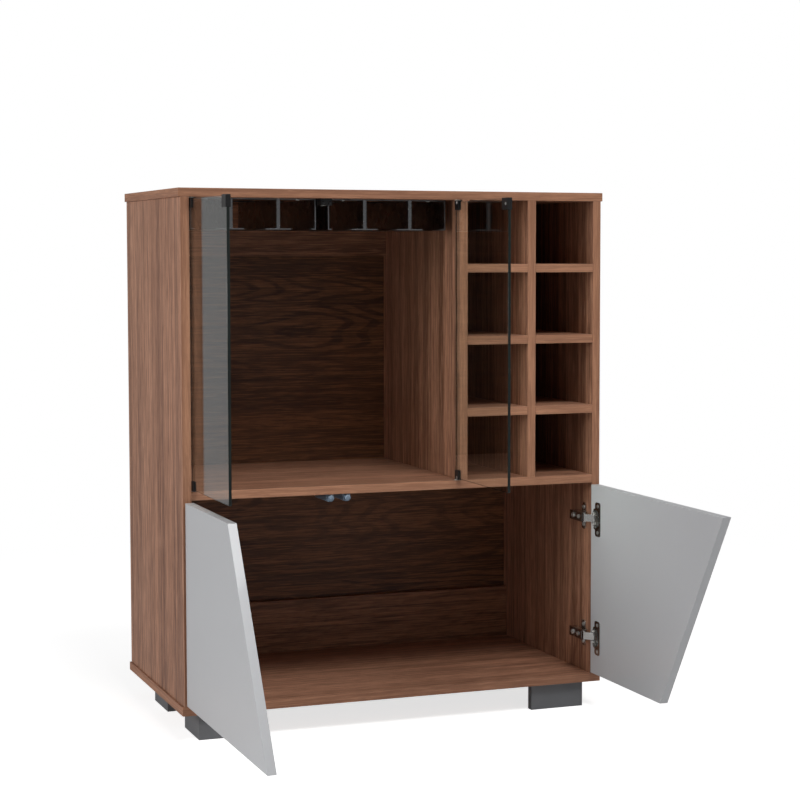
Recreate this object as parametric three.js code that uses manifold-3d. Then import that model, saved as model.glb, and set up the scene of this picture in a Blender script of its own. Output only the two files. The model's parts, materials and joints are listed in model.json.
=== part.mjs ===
// Bar armoire: a free-standing bar cabinet with a glass compartment, a bottle rack and, below them, two
// doors that meet at a slanting seam. It stands as it is shown, with all four doors open.
// Millimetres: X to the right, Y to the back, Z up. The carcass is drawn with its front face at Y zero,
// and the whole is then moved so that the origin lies on the floor under the middle of its outline.

import * as THREE from 'three';
import { mergeVertices } from 'three/addons/utils/BufferGeometryUtils.js';
import Module from 'manifold-3d';

const wasm = await Module();
wasm.setup();

// Carcass
const panelWidth = 780;
const panelDepth = 420;
const board = 15;
const panelOverhang = 3.5;
const lowerHeight = 352;
const cellSize = 112.5;
const cellColumns = 2;
const cellRows = 4;
const lapClearance = 0.15;
const backThickness = 3;
const rebateReach = 8;
const railHeight = 100;

// Feet
const footHeight = 46;
const footLeg = 102;
const footSideInset = 30.5;
const footFrontInset = 11.5;
const footRearInset = 75;

// Glass doors
const glassThickness = 5;
const glassEndGap = 3;
const glassSeam = 3;
const glassHeel = 2.5;
const pivotInset = 5.5;
const pivotSetback = 6;
const clampLength = 15.4;
const clampHeight = 16.5;
const clampThickness = 8.4;
const clampHeelRadius = 4.6;
const clampEndGap = 1.5;
const pivotPinRadius = 2.5;
const pivotPinReach = 7;
const bushRadius = 4;
const bushDepth = 9;
const bushFlangeRadius = 5;
const bushFlange = 1.2;
const bushClearance = 0.15;
const strikeLength = 25;
const strikeHeight = 20;
const strikeWrap = 0.8;

// Touch latch of the glass doors
const touchLatchWidth = 20;
const touchLatchHeight = 12;
const touchLatchDepth = 36;
const touchLatchSetback = 14;
const touchPlungerRadius = 3;
const touchPlungerSpacing = 12;
const touchPlungerLength = 30;
const touchPlungerDrop = 7.5;
const touchPlungerTravel = 3;

// Lower doors
const leftDoorTopWidth = 274;
const leftDoorBottomWidth = 490;
const doorSeam = 3;
const doorReveal = 0.5;
const doorEndGap = 3;
const doorStandoff = 3;
const doorOpenInset = 3;
const doorOpenSetback = 4;

// Push latches of the lower doors
const pushLatchSize = 13.5;
const pushLatchRound = 5;
const pushLatchLength = 70;
const pushLatchSetback = 6;
const pushLatchSpacing = 30;
const pushPlungerRadius = 5;
const pushPlungerLength = 52;
const pushPlungerTravel = 8;
const plungerDomeShare = 1 / 3;

// Concealed hinges
const hingeFromTop = 61;
const hingeFromBottom = 68;
const hingeSheet = 1.6;
const hingePinRadius = 1.1;
const linkSwing = Math.PI / 6;
const linkEyeRadius = 2.5;
const cupRadius = 17.5;
const cupWall = 0.8;
const cupDepth = 12;
const cupInset = 20.5;
const cupPinInset = 9;
const cupPinDepth = 2;
const cupClearance = 0.2;
const flangeThickness = 1.2;
const flangeWidth = 22;
const flangeHeight = 62;
const flangeOffset = 9.5;
const flangeRound = 5;
const flangeCollar = 2;
const flangeOpenInset = 13;
const armWidth = 17;
const armHeight = 6;
const armRear = 62;
const armWebSetback = 9;
const armEyeRadius = 3.2;
const armHoleRadius = 2.6;
const armHolePlaces = [24, 47];
const saddleHeight = 9.2;
const saddleFront = 14;
const saddleRear = 60;
const wingThickness = 2;
const wingSetback = 30;
const wingWidth = 16;
const wingSpan = 48;
const wingRound = 6;
const wingHoleSpacing = 32;
const wingHoleRadius = 2.6;

// Stemware racks
const rackFront = 40;
const rackLength = 250;
const rackDrop = 53.5;
const rackLatchGap = 1;
const rackSideGap = 15;
const rackChannels = 3;
const stemGap = 22;
const rackEndFlange = 14.4;
const rackSheet = 2;
const rackMidWeb = 6;
const rackTaperAcross = 8;
const rackTaperAlong = 16;
const strapWidth = 20;
const strapRearInset = 35;
const strapHoleRadius = 2.2;
const strapHoleInset = 30;

// Clearances that many pieces share, and the overrun of every cut
const seatGap = 0.3;
const runningGap = 0.05;
const plungerGap = 0.3;
const overrun = 1;

// Facets
const roundSides = 32;
const smallSides = 20;
const cornerSteps = 4;

// Levels and planes that follow from the sizes above
const bottomTop = footHeight + board;
const midUnder = bottomTop + lowerHeight;
const midTop = midUnder + board;
const topUnder = midTop + cellRows * cellSize + (cellRows - 1) * board;
const topFace = topUnder + board;
const sideOuter = panelWidth / 2 - panelOverhang;
const sideInner = sideOuter - board;
const backPlane = panelDepth - backThickness;
const railFront = backPlane - board;
const rackLeft = sideInner - cellColumns * cellSize - (cellColumns - 1) * board;
const dividerLeft = rackLeft - board;
const glassMiddle = (dividerLeft - sideInner) / 2;
const rackSpacing = touchLatchWidth + 2 * rackLatchGap;
const rackWidth = (dividerLeft + sideInner - rackSpacing) / 2 - rackSideGap;
const rackFlangeWidth = (rackWidth - 2 * rackEndFlange - rackChannels * stemGap) / (rackChannels - 1);
const glassReach = (dividerLeft + sideInner - glassSeam) / 2 - pivotInset;
const doorBottom = bottomTop + doorEndGap;
const doorTop = midUnder - doorEndGap;
const doorHalfSpan = sideOuter - doorReveal;
const seamMiddle = leftDoorTopWidth + doorSeam / 2 - doorHalfSpan;
const hingeLevels = { top: doorTop - hingeFromTop, bottom: doorBottom + hingeFromBottom };

const xAxis = new THREE.Vector3(1, 0, 0);
const yAxis = new THREE.Vector3(0, 1, 0);
const zAxis = new THREE.Vector3(0, 0, 1);

const materials = {
  walnut: { color: 0x8d6858, roughness: 0.55, metalness: 0 },
  backWalnut: { color: 0x6b4c3f, roughness: 0.6, metalness: 0 },
  lacquer: { color: 0xd5d9dc, roughness: 0.35, metalness: 0 },
  graphite: { color: 0x58595d, roughness: 0.6, metalness: 0 },
  glass: { color: 0xbcc8c2, roughness: 0.05, metalness: 0, transparent: true, opacity: 0.35 },
  black: { color: 0x17181a, roughness: 0.4, metalness: 0.2 },
  bushing: { color: 0xe2e2de, roughness: 0.5, metalness: 0 },
  latch: { color: 0x9fb0c0, roughness: 0.5, metalness: 0 },
  nickel: { color: 0xb9bcc0, roughness: 0.3, metalness: 0.9 },
  chrome: { color: 0xd0d3d6, roughness: 0.15, metalness: 1 },
};

// Turns a closed geometry into a solid that can be joined and cut.
function solidOf(geometry) {
  const bare = geometry.clone();
  bare.deleteAttribute('normal');
  bare.deleteAttribute('uv');
  const merged = mergeVertices(bare);
  return new wasm.Manifold(new wasm.Mesh({
    numProp: 3,
    vertProperties: new Float32Array(merged.attributes.position.array),
    triVerts: new Uint32Array(merged.index.array),
  }));
}

// Turns a solid back into a geometry.
function geometryOf(solid) {
  const mesh = solid.getMesh();
  const geometry = new THREE.BufferGeometry();
  geometry.setAttribute('position', new THREE.BufferAttribute(mesh.vertProperties, 3));
  geometry.setIndex(new THREE.BufferAttribute(mesh.triVerts, 1));
  return geometry;
}

// A box between two opposite corners, given in any order.
function block(cornerA, cornerB) {
  const corners = [cornerA, cornerB].map((corner) => new THREE.Vector3(...corner));
  const span = new THREE.Box3().setFromPoints(corners);
  const size = span.getSize(new THREE.Vector3());
  const centre = span.getCenter(new THREE.Vector3());
  return solidOf(new THREE.BoxGeometry(size.x, size.y, size.z).translate(centre.x, centre.y, centre.z));
}

// A prism along one axis, between two places on it. The outline is a list of [across, up] points, which
// lie in Y and Z along X, in X and Z along Y, and in X and Y along Z.
function prism(outline, axis, from, to) {
  const shape = new THREE.Shape(outline.map(([across, up]) => new THREE.Vector2(across, up)));
  const geometry = new THREE.ExtrudeGeometry(shape, { depth: Math.abs(to - from), bevelEnabled: false });
  const low = Math.min(from, to);
  const high = Math.max(from, to);
  const turn = new THREE.Matrix4();
  if (axis === 'x') {
    turn.makeBasis(yAxis, zAxis, xAxis).setPosition(low, 0, 0);
  } else if (axis === 'y') {
    turn.makeBasis(xAxis, zAxis, yAxis.clone().negate()).setPosition(0, high, 0);
  } else {
    turn.setPosition(0, 0, low);
  }
  geometry.applyMatrix4(turn);
  return solidOf(geometry);
}

// Points along an arc, both ends included.
function arc([across, up], radius, start, end, steps) {
  return Array.from({ length: steps + 1 }, (_, step) => {
    const angle = start + ((end - start) * step) / steps;
    return [across + radius * Math.cos(angle), up + radius * Math.sin(angle)];
  });
}

function circle(centre, radius, sides) {
  return arc(centre, radius, 0, 2 * Math.PI, sides).slice(1);
}

function rod(axis, centre, radius, from, to, sides = roundSides) {
  return prism(circle(centre, radius, sides), axis, from, to);
}

// A rod to cut with, whose flats, and not its corners, lie at the radius.
function bore(axis, centre, radius, from, to, sides = roundSides) {
  return rod(axis, centre, radius / Math.cos(Math.PI / sides), from, to, sides);
}

function roundedRectangle([across, up], [width, height], radius) {
  const reach = width / 2 - radius;
  const rise = height / 2 - radius;
  const quarter = Math.PI / 2;
  return [
    ...arc([across + reach, up - rise], radius, -quarter, 0, cornerSteps),
    ...arc([across + reach, up + rise], radius, 0, quarter, cornerSteps),
    ...arc([across - reach, up + rise], radius, quarter, 2 * quarter, cornerSteps),
    ...arc([across - reach, up - rise], radius, 2 * quarter, 3 * quarter, cornerSteps),
  ];
}

function union(...solids) {
  return solids.reduce((whole, solid) => whole.add(solid));
}

function without(solid, ...cuts) {
  return cuts.reduce((rest, cut) => rest.subtract(cut), solid);
}

// A pair of doors, racks or latches: the side is -1 on the left and 1 on the right.
const sides = { left: -1, right: 1 };

// Carcass

// The rebate round the back opening, cut by the same box in both panels and both side boards.
function backRebate() {
  const reach = sideInner + rebateReach;
  return block(
    [-reach, backPlane, bottomTop - rebateReach],
    [reach, panelDepth + overrun, topUnder + rebateReach],
  );
}

function pivotPlace(side) {
  return [side < 0 ? -sideInner + pivotInset : dividerLeft - pivotInset, pivotSetback];
}

// The pockets for the bushes, upwards from a face or down from it.
function bushPockets(face, up) {
  const end = face + up * (bushDepth + seatGap);
  return Object.values(sides).map((side) => (
    bore('z', pivotPlace(side), bushRadius + bushClearance, face - up * overrun, end)
  ));
}

function topPanel() {
  const slab = block([-panelWidth / 2, 0, topUnder], [panelWidth / 2, panelDepth, topFace]);
  return without(slab, backRebate(), ...bushPockets(topUnder, 1));
}

function bottomPanel() {
  const slab = block([-panelWidth / 2, 0, footHeight], [panelWidth / 2, panelDepth, bottomTop]);
  return without(slab, backRebate());
}

function sidePanel(side) {
  const slab = block([side * sideInner, 0, bottomTop], [side * sideOuter, panelDepth, topUnder]);
  return without(slab, backRebate());
}

function midShelf() {
  const slab = block([-sideInner, 0, midUnder], [sideInner, backPlane, midTop]);
  return without(slab, ...bushPockets(midTop, -1));
}

// An upright board of the upper compartment, notched behind for the top rail.
function uprightBoard(left) {
  const slab = block([left, 0, midTop], [left + board, backPlane, topUnder]);
  const notch = block(
    [left - overrun, railFront, topUnder - railHeight],
    [left + board + overrun, backPlane + overrun, topUnder + overrun],
  );
  return without(slab, notch);
}

function postLeft(column) {
  return rackLeft + column * cellSize + (column - 1) * board;
}

function shelfTop(row) {
  return topUnder - row * cellSize - (row - 1) * board;
}

// A post of the bottle rack, slotted from behind to half its depth for each shelf.
function rackPost(column) {
  const left = postLeft(column);
  const slots = Array.from({ length: cellRows - 1 }, (_, row) => block(
    [left - overrun, backPlane / 2, shelfTop(row + 1) - board - lapClearance],
    [left + board + overrun, backPlane + overrun, shelfTop(row + 1) + lapClearance],
  ));
  return without(uprightBoard(left), ...slots);
}

// A shelf of the bottle rack, slotted from the front to half its depth for each post.
function rackShelf(row) {
  const top = shelfTop(row);
  const slab = block([rackLeft, 0, top - board], [sideInner, backPlane, top]);
  const slots = Array.from({ length: cellColumns - 1 }, (_, column) => block(
    [postLeft(column + 1) - lapClearance, -overrun, top - board - overrun],
    [postLeft(column + 1) + board + lapClearance, backPlane / 2 + lapClearance, top + overrun],
  ));
  return without(slab, ...slots);
}

function backSheet() {
  const reach = sideInner + rebateReach - seatGap;
  return block(
    [-reach, backPlane, bottomTop - rebateReach + seatGap],
    [reach, panelDepth, topUnder + rebateReach - seatGap],
  );
}

function backRail(low) {
  return block([-sideInner, railFront, low], [sideInner, backPlane, low + railHeight]);
}

// An L of two boards. The toe is 1 where the L's corner is at the front, and -1 where it is behind.
function foot(side, cornerY, toe) {
  const corner = side * (panelWidth / 2 - footSideInset);
  const place = (inward, along) => [corner - side * inward, cornerY + toe * along];
  const outline = [
    place(0, 0), place(footLeg, 0), place(footLeg, board),
    place(board, board), place(board, footLeg), place(0, footLeg),
  ];
  return prism(outline, 'z', 0, footHeight);
}

// Glass doors, drawn closed with the pivot at the origin. The way is 1 where the door runs to the right
// of its pivot and -1 where it runs to the left.

function pivotBush(face, up) {
  const mouth = face - up * bushFlange;
  const end = face + up * bushDepth;
  const flange = rod('z', [0, 0], bushFlangeRadius, mouth, face);
  const sleeve = rod('z', [0, 0], bushRadius, mouth, end);
  const hole = bore('z', [0, 0], pivotPinRadius + runningGap, mouth - up * overrun, end + up * overrun);
  return without(union(flange, sleeve), hole);
}

function glassPane(way) {
  return block(
    [-way * glassHeel, -glassThickness / 2, midTop + glassEndGap],
    [way * glassReach, glassThickness / 2, topUnder - glassEndGap],
  );
}

// A clamp on a corner of the glass, with the pin that turns in the bush. Up is 1 for the top clamp.
function pivotClamp(way, face, up) {
  const half = clampThickness / 2;
  const tangent = Math.asin(half / clampHeelRadius);
  const heel = arc([0, 0], clampHeelRadius, tangent, 2 * Math.PI - tangent, smallSides);
  const jaws = [[clampLength, -half], [clampLength, half]];
  const outline = [...jaws, ...heel].map(([along, across]) => [way * along, across]);
  const outer = face - up * clampEndGap;
  const body = prism(outline, 'z', outer, outer - up * clampHeight);
  const slot = block(
    [-way * (glassHeel + seatGap), -glassThickness / 2 - seatGap, face - up * (glassEndGap - seatGap)],
    [way * (clampLength + overrun), glassThickness / 2 + seatGap, outer - up * (clampHeight + overrun)],
  );
  const root = face - up * (glassEndGap - seatGap);
  const pin = rod('z', [0, 0], pivotPinRadius, root, face + up * pivotPinReach);
  return union(without(body, slot), pin);
}

// The clip that wraps the free top corner of the glass and meets the latch.
function strikeClip(way) {
  const top = topUnder - clampEndGap;
  const end = glassReach + strikeWrap;
  const body = block(
    [way * (end - strikeLength), -clampThickness / 2, top - strikeHeight],
    [way * end, clampThickness / 2, top],
  );
  const slot = block(
    [way * (end - strikeLength - overrun), -glassThickness / 2 - seatGap, top - strikeHeight - overrun],
    [way * (glassReach + seatGap), glassThickness / 2 + seatGap, topUnder - glassEndGap + seatGap],
  );
  return without(body, slot);
}

// A round plunger along Y with a domed tip, drawn from its tip at the origin.
function plunger(radius, length) {
  const dome = radius * plungerDomeShare;
  const domeRadius = (radius * radius + dome * dome) / (2 * dome);
  const sweep = Math.asin(radius / domeRadius);
  const tip = arc([0, domeRadius], domeRadius, -Math.PI / 2, sweep - Math.PI / 2, cornerSteps);
  const profile = [...tip, [radius, length], [0, length]].map(([across, along]) => (
    new THREE.Vector2(Math.max(across, 0), along)
  ));
  return solidOf(new THREE.LatheGeometry(profile, roundSides));
}

// Touch latch, drawn from the middle of the glass compartment

function touchLatchBody() {
  const rear = touchLatchSetback + touchLatchDepth;
  const body = block(
    [-touchLatchWidth / 2, touchLatchSetback, topUnder - touchLatchHeight],
    [touchLatchWidth / 2, rear, topUnder],
  );
  const holes = Object.values(sides).map((side) => bore(
    'y', [(side * touchPlungerSpacing) / 2, topUnder - touchPlungerDrop], touchPlungerRadius + runningGap,
    touchLatchSetback - overrun, touchPlungerTip() + touchPlungerLength + touchPlungerTravel + plungerGap,
  ));
  return without(body, ...holes);
}

function touchPlungerTip() {
  return pivotSetback + clampThickness / 2 + plungerGap;
}

// Push latch, drawn from its own middle

function pushLatchBody() {
  const half = pushLatchSize / 2;
  const reach = half - pushLatchRound;
  const low = midUnder - pushLatchSize + pushLatchRound;
  const outline = [
    [-half, midUnder],
    ...arc([-reach, low], pushLatchRound, Math.PI, 1.5 * Math.PI, cornerSteps),
    ...arc([reach, low], pushLatchRound, 1.5 * Math.PI, 2 * Math.PI, cornerSteps),
    [half, midUnder],
  ];
  const body = prism(outline, 'y', pushLatchSetback, pushLatchSetback + pushLatchLength);
  const hole = bore(
    'y', [0, midUnder - half], pushPlungerRadius + runningGap,
    pushLatchSetback - overrun, pushPlungerTip() + pushPlungerLength + pushPlungerTravel + plungerGap,
  );
  return without(body, hole);
}

function pushPlungerTip() {
  return plungerGap - doorStandoff;
}

// Lower doors, drawn closed with the hinge pins on the Z axis. The side is -1 on the left.

function doorWidths(side) {
  const left = [leftDoorBottomWidth, leftDoorTopWidth];
  return side < 0 ? left : left.map((width) => 2 * doorHalfSpan - doorSeam - width);
}

function doorBoard(side) {
  const [bottomWidth, topWidth] = doorWidths(side);
  const outline = [
    [side * cupPinInset, doorBottom], [side * (cupPinInset - bottomWidth), doorBottom],
    [side * (cupPinInset - topWidth), doorTop], [side * cupPinInset, doorTop],
  ];
  const slab = prism(outline, 'y', cupPinDepth - board, cupPinDepth);
  const pockets = Object.values(hingeLevels).map((level) => bore(
    'y', [side * (cupPinInset - cupInset), level], cupRadius + cupClearance,
    cupPinDepth - cupDepth - cupClearance, cupPinDepth + overrun,
  ));
  return without(slab, ...pockets);
}

// The cup: a bowl let into the door, a flange on the door's face that leaves the side towards the
// carcass open for the link, and the pin that the link turns on.
function hingeCup(side, level) {
  const place = (inset) => side * (cupPinInset - inset);
  const centre = [place(cupInset), level];
  const face = cupPinDepth;
  const rim = face + flangeThickness;
  const ears = prism(
    roundedRectangle([place(cupInset + flangeOffset), level], [flangeWidth, flangeHeight], flangeRound),
    'y', face, rim,
  );
  const collar = rod('y', centre, cupRadius + flangeCollar, face, rim);
  const bowl = rod('y', centre, cupRadius, face - cupDepth, rim);
  const opening = block(
    [place(flangeOpenInset), face, level - flangeHeight],
    [place(-cupRadius), rim + overrun, level + flangeHeight],
  );
  const hollow = rod('y', centre, cupRadius - cupWall, face - cupDepth + cupWall, rim + overrun);
  const pin = rod('z', [0, 0], hingePinRadius, level - cupRadius, level + cupRadius, smallSides);
  return union(without(union(ears, collar, bowl), opening, hollow), pin.intersect(bowl));
}

// Where the two pins of a hinge lie, seen from above. The cup's pin is found with the door closed and
// open, and the arm's pin is the point about which the link's swing takes one to the other.
function hingePins(side) {
  const closed = new THREE.Vector2(doorHalfSpan - cupPinInset, -doorStandoff - cupPinDepth);
  const open = new THREE.Vector2(sideInner - doorOpenInset + cupPinDepth, -doorOpenSetback - cupPinInset);
  const chord = open.clone().sub(closed);
  const toCentre = new THREE.Vector2(chord.y, -chord.x).divideScalar(2 * Math.tan(linkSwing / 2));
  const arm = closed.clone().add(open).divideScalar(2).add(toCentre);
  return {
    arm: new THREE.Vector2(side * arm.x, arm.y),
    cup: new THREE.Vector2(side * open.x, open.y),
  };
}

// The link, drawn from the arm's pin along X to the cup's pin. Its strap runs along the inboard side of
// the eyes, which keeps it clear of the cup's rim and of the side board's edge.
function hingeLink(side, level, length) {
  const half = armWidth / 2 - hingeSheet - seatGap;
  const strap = block(
    [0, -side * linkEyeRadius, level - half],
    [length, -side * (linkEyeRadius - hingeSheet), level + half],
  );
  const ends = [0, length];
  const eyes = ends.map((end) => rod('z', [end, 0], linkEyeRadius, level - half, level + half, smallSides));
  const holes = ends.map((end) => bore(
    'z', [end, 0], hingePinRadius + runningGap, level - half - overrun, level + half + overrun, smallSides,
  ));
  return without(union(strap, ...eyes), ...holes);
}

// The arm: a channel of folded sheet, open towards the side board, that forks at its front end round
// the link's eye and holds the pin there.
function hingeArm(side, level) {
  const low = saddleHeight + seatGap;
  const high = low + armHeight;
  const inner = armWidth / 2 - hingeSheet;
  const place = (inboard) => side * (sideInner - inboard);
  const pin = hingePins(side).arm.toArray();
  const under = level - armWidth / 2;
  const over = level + armWidth / 2;
  const channel = block([place(low), pin[1], under], [place(high), armRear, over]);
  const eye = rod('z', pin, armEyeRadius, under, over, smallSides);
  const hollow = block(
    [place(low - overrun), pin[1] - armEyeRadius - overrun, level - inner],
    [place(high - hingeSheet), armRear + overrun, level + inner],
  );
  const fork = block(
    [place(low - armEyeRadius - overrun), pin[1] - armEyeRadius - overrun, level - inner],
    [place(high + armEyeRadius + overrun), armWebSetback, level + inner],
  );
  const holes = armHolePlaces.map((depth) => bore(
    'x', [depth, level], armHoleRadius, place(high - hingeSheet - overrun), place(high + overrun), smallSides,
  ));
  const hingePin = rod('z', pin, hingePinRadius, under, over, smallSides);
  return union(without(union(channel, eye), hollow, fork, ...holes), hingePin);
}

// The mounting plate: two wings screwed to the side board, and a raised saddle that carries the arm.
function hingePlate(side, level) {
  const place = (inboard) => side * (sideInner - inboard);
  const saddle = block(
    [place(0), saddleFront, level - armWidth / 2],
    [place(saddleHeight), saddleRear, level + armWidth / 2],
  );
  const hollow = block(
    [place(-overrun), saddleFront - overrun, level - armWidth / 2 + hingeSheet],
    [place(saddleHeight - hingeSheet), saddleRear + overrun, level + armWidth / 2 - hingeSheet],
  );
  const wings = prism(
    roundedRectangle([wingSetback, level], [wingWidth, wingSpan], wingRound),
    'x', place(0), place(wingThickness),
  );
  const holes = [-1, 1].map((up) => bore(
    'x', [wingSetback, level + (up * wingHoleSpacing) / 2], wingHoleRadius,
    place(-overrun), place(wingThickness + overrun), smallSides,
  ));
  return without(union(without(saddle, hollow), wings), ...holes);
}

// Stemware rack, drawn from its left end: upright webs with flanges along their lower edges, between
// which the stems hang, joined by straps under the top panel.

// One long edge of a flange, seen from above and run from front to rear. Inward is 1 on the left edge
// and -1 on the right, where the edge is tapered at both ends to lead the stems in, and 0 without taper.
function flangeEdge(across, inward) {
  const rear = rackFront + rackLength;
  if (inward === 0) {
    return [[across, rackFront], [across, rear]];
  }
  const tapered = across + inward * rackTaperAcross;
  return [
    [tapered, rackFront], [across, rackFront + rackTaperAlong],
    [across, rear - rackTaperAlong], [tapered, rear],
  ];
}

function rackFlange(leftEdge, rightEdge) {
  const under = topUnder - rackDrop;
  return prism([...rightEdge, ...leftEdge.toReversed()], 'z', under, under + rackSheet);
}

function rackWeb(left, right) {
  return block([left, rackFront, topUnder - rackDrop], [right, rackFront + rackLength, topUnder]);
}

function rackStrap(front) {
  return block([0, front, topUnder - rackSheet], [rackWidth, front + strapWidth, topUnder]);
}

function stemwareRack() {
  const pieces = [
    rackFlange(flangeEdge(0, 0), flangeEdge(rackEndFlange, -1)),
    rackWeb(0, rackSheet),
    rackFlange(flangeEdge(rackWidth - rackEndFlange, 1), flangeEdge(rackWidth, 0)),
    rackWeb(rackWidth - rackSheet, rackWidth),
  ];
  for (let channel = 1; channel < rackChannels; channel += 1) {
    const left = rackEndFlange + channel * stemGap + (channel - 1) * rackFlangeWidth;
    const middle = left + rackFlangeWidth / 2;
    pieces.push(rackFlange(flangeEdge(left, 1), flangeEdge(left + rackFlangeWidth, -1)));
    pieces.push(rackWeb(middle - rackMidWeb / 2, middle + rackMidWeb / 2));
  }
  const relief = block(
    [-overrun, rackFront - overrun, topUnder - rackSheet],
    [rackWidth + overrun, rackFront + rackLength + overrun, topUnder + overrun],
  );
  const straps = [rackFront, rackFront + rackLength - strapRearInset - strapWidth];
  const holePlaces = straps.flatMap((front) => (
    [strapHoleInset, rackWidth - strapHoleInset].map((across) => [across, front + strapWidth / 2])
  ));
  const holes = holePlaces.map((place) => (
    bore('z', place, strapHoleRadius, topUnder - rackSheet - overrun, topUnder + overrun, smallSides)
  ));
  return without(union(without(union(...pieces), relief), ...straps.map(rackStrap)), ...holes);
}

// Assembly

const armoire = new THREE.Group();

function add(group, name, solid, material) {
  const mesh = new THREE.Mesh(geometryOf(solid), new THREE.MeshStandardMaterial(materials[material]));
  mesh.name = name;
  group.add(mesh);
  return mesh;
}

// A group inside the armoire, at a place seen from above and turned about Z.
function pivotGroup([x, y], turn) {
  const group = new THREE.Group();
  group.position.set(x, y, 0);
  group.rotation.z = turn;
  armoire.add(group);
  return group;
}

function addCarcass() {
  add(armoire, 'top_panel', topPanel(), 'walnut');
  add(armoire, 'bottom_panel', bottomPanel(), 'walnut');
  add(armoire, 'mid_shelf', midShelf(), 'walnut');
  add(armoire, 'divider', uprightBoard(dividerLeft), 'walnut');
  for (let column = 1; column < cellColumns; column += 1) {
    add(armoire, `rack_post_${column}`, rackPost(column), 'walnut');
  }
  for (let row = 1; row < cellRows; row += 1) {
    add(armoire, `rack_shelf_${row}`, rackShelf(row), 'walnut');
  }
  add(armoire, 'back_sheet', backSheet(), 'backWalnut');
  add(armoire, 'back_rail_top', backRail(topUnder - railHeight), 'backWalnut');
  add(armoire, 'back_rail_bottom', backRail(bottomTop), 'backWalnut');
  for (const [name, side] of Object.entries(sides)) {
    add(armoire, `side_${name}`, sidePanel(side), 'walnut');
    add(armoire, `foot_front_${name}`, foot(side, footFrontInset, 1), 'graphite');
    add(armoire, `foot_rear_${name}`, foot(side, panelDepth - footRearInset, -1), 'graphite');
  }
}

function addGlassDoors() {
  for (const [name, side] of Object.entries(sides)) {
    const way = -side;
    const pivot = pivotPlace(side);
    const seat = pivotGroup(pivot, 0);
    add(seat, `pivot_bush_${name}_top`, pivotBush(topUnder, 1), 'bushing');
    add(seat, `pivot_bush_${name}_bottom`, pivotBush(midTop, -1), 'bushing');
    const door = pivotGroup(pivot, (side * Math.PI) / 2);
    add(door, `glass_pane_${name}`, glassPane(way), 'glass');
    add(door, `glass_clamp_${name}_top`, pivotClamp(way, topUnder, 1), 'black');
    add(door, `glass_clamp_${name}_bottom`, pivotClamp(way, midTop, -1), 'black');
    add(door, `glass_strike_${name}`, strikeClip(way), 'black');
  }
}

function addLatches() {
  add(pivotGroup([glassMiddle, 0], 0), 'touch_latch_body', touchLatchBody(), 'black');
  for (const [name, side] of Object.entries(sides)) {
    const touch = plunger(touchPlungerRadius, touchPlungerLength);
    const touchMesh = add(armoire, `touch_latch_plunger_${name}`, touch, 'bushing');
    touchMesh.position.set(
      glassMiddle + (side * touchPlungerSpacing) / 2, touchPlungerTip(), topUnder - touchPlungerDrop,
    );
    const middle = seamMiddle + (side * pushLatchSpacing) / 2;
    add(pivotGroup([middle, 0], 0), `push_latch_body_${name}`, pushLatchBody(), 'latch');
    const push = plunger(pushPlungerRadius, pushPlungerLength);
    const pushMesh = add(armoire, `push_latch_plunger_${name}`, push, 'latch');
    pushMesh.position.set(middle, pushPlungerTip(), midUnder - pushLatchSize / 2);
  }
}

function addLowerDoors() {
  for (const [name, side] of Object.entries(sides)) {
    const pins = hingePins(side);
    const reach = pins.cup.clone().sub(pins.arm);
    const door = pivotGroup(pins.cup.toArray(), (side * Math.PI) / 2);
    const links = pivotGroup(pins.arm.toArray(), reach.angle());
    add(door, `door_${name}`, doorBoard(side), 'lacquer');
    for (const [height, level] of Object.entries(hingeLevels)) {
      add(armoire, `hinge_plate_${name}_${height}`, hingePlate(side, level), 'nickel');
      add(armoire, `hinge_arm_${name}_${height}`, hingeArm(side, level), 'nickel');
      add(links, `hinge_link_${name}_${height}`, hingeLink(side, level, reach.length()), 'nickel');
      add(door, `hinge_cup_${name}_${height}`, hingeCup(side, level), 'nickel');
    }
  }
}

function addStemwareRacks() {
  const places = { left: glassMiddle - rackSpacing / 2 - rackWidth, right: glassMiddle + rackSpacing / 2 };
  for (const [name, left] of Object.entries(places)) {
    add(pivotGroup([left, 0], 0), `stemware_rack_${name}`, stemwareRack(), 'chrome');
  }
}

addCarcass();
addGlassDoors();
addLatches();
addLowerDoors();
addStemwareRacks();

// The open doors reach far in front of the carcass, so the middle of the whole lies ahead of its own.
const doorReach = doorOpenSetback + Math.max(...doorWidths(sides.left), ...doorWidths(sides.right));
armoire.position.y = (doorReach - panelDepth) / 2;

export default armoire;
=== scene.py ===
import json
import math

import bmesh
import bpy
from mathutils import Matrix, Vector


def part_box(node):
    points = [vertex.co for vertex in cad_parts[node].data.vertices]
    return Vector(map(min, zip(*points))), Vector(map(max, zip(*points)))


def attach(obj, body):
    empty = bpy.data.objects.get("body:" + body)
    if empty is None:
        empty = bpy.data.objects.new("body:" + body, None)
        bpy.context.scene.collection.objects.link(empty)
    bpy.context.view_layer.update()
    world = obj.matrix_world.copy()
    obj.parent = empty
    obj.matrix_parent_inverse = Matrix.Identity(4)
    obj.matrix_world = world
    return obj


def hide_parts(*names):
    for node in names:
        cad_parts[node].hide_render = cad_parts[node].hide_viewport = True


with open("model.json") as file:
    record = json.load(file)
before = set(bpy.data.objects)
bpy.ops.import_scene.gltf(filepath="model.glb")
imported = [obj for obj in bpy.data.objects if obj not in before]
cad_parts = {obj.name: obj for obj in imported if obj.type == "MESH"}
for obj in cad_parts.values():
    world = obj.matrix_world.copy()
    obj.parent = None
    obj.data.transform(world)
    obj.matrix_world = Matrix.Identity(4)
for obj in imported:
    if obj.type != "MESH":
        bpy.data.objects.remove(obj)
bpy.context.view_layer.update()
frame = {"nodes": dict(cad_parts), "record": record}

# Bar armoire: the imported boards, doors and fittings get eased edges and their finishes, and the small
# fastenings are added. Everything is in metres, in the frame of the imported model.

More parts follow.
